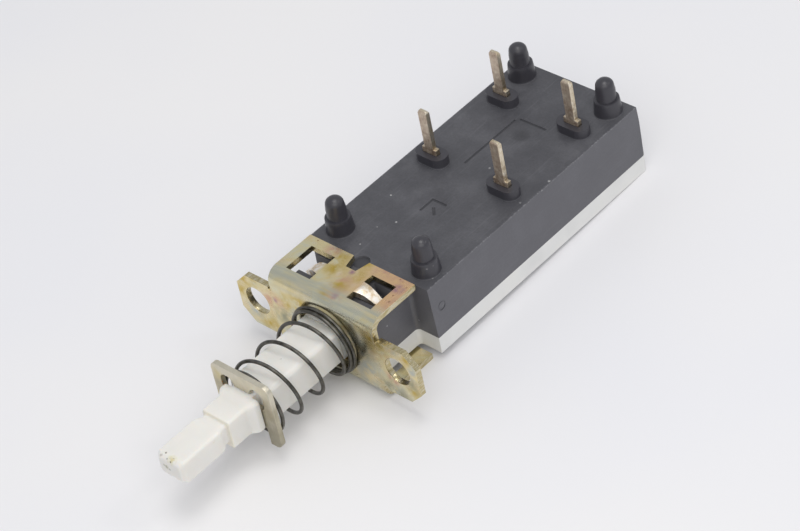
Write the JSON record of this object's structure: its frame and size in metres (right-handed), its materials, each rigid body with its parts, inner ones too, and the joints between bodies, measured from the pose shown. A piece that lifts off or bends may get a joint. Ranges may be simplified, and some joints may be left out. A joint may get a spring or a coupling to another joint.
{
  "type": "latching push button switch",
  "caption": "Latching push switch: moulded housing with a folded sheet bracket and ears, a sprung sliding plunger with a bare knob seat, upright solder terminals and locating pegs.",
  "frame": {"origin": "midway between the two panel holes, on the front face of the bracket", "axes": "+Y along the plunger into the housing (the way it is pushed), +X across the housing to the right, +Z towards the solder terminals"},
  "size_m": [0.0256, 0.0645, 0.0165],
  "materials": {
    "cover": "moulded, satin",
    "base": "moulded, satin",
    "plunger": "moulded, low sheen",
    "cap": "moulded",
    "bracket": "zinc plated and yellow passivated",
    "keeper": "dull plated",
    "spring_wire": "oiled spring steel",
    "bright_steel": "bright drawn wire",
    "terminal": "tin plated, tarnished",
    "rocker": "bare, bright",
    "contact": "silver faced"
  },
  "bodies": {
    "housing": {"cover": "cover", "base": "base", "bracket": "bracket", "common_terminal_left": "terminal", "common_terminal_right": "terminal", "contact_terminal_left": "terminal", "contact_terminal_right": "terminal", "fixed_contact_left": "contact", "fixed_contact_right": "contact", "latch_spring": "bright_steel", "return_spring": "spring_wire"},
    "plunger": {"plunger": "plunger", "spring_keeper": "keeper", "contact_cap_left": "cap", "contact_cap_right": "cap", "contact_spring_left": "bright_steel", "contact_spring_right": "bright_steel"},
    "latch_pin": {"latch_pin": "bright_steel"},
    "rocker_left": {"rocker_left": "rocker", "moving_contact_left": "contact"},
    "rocker_right": {"rocker_right": "rocker", "moving_contact_right": "contact"}
  },
  "joints": [
    {"name": "push", "type": "slide", "parent": "housing", "child": "plunger", "axis": [0, 1, 0], "range_m": [0, 0.0045], "stiffness_N_per_m": 150, "springref_m": -0.008, "deforming": ["return_spring"]},
    {"name": "latch_swing", "type": "hinge", "parent": "housing", "child": "latch_pin", "pos_m": [0, 0.029, -0.0031], "axis": [0, 0, 1], "range_deg": [0, 10.25]},
    {"name": "rocker_left_tilt", "type": "hinge", "parent": "housing", "child": "rocker_left", "pos_m": [-0.00503, 0.026, 0.00145], "axis": [1, 0, 0], "range_deg": [0, 16]},
    {"name": "rocker_right_tilt", "type": "hinge", "parent": "housing", "child": "rocker_right", "pos_m": [0.00503, 0.026, 0.00145], "axis": [1, 0, 0], "range_deg": [0, 16]}
  ],
  "couplings": [
    {"joint": "latch_swing", "follows": "push", "rad_per_m": 39.7},
    {"joint": "rocker_left_tilt", "follows": "push", "rad_per_m": 62},
    {"joint": "rocker_right_tilt", "follows": "push", "rad_per_m": 62}
  ]
}
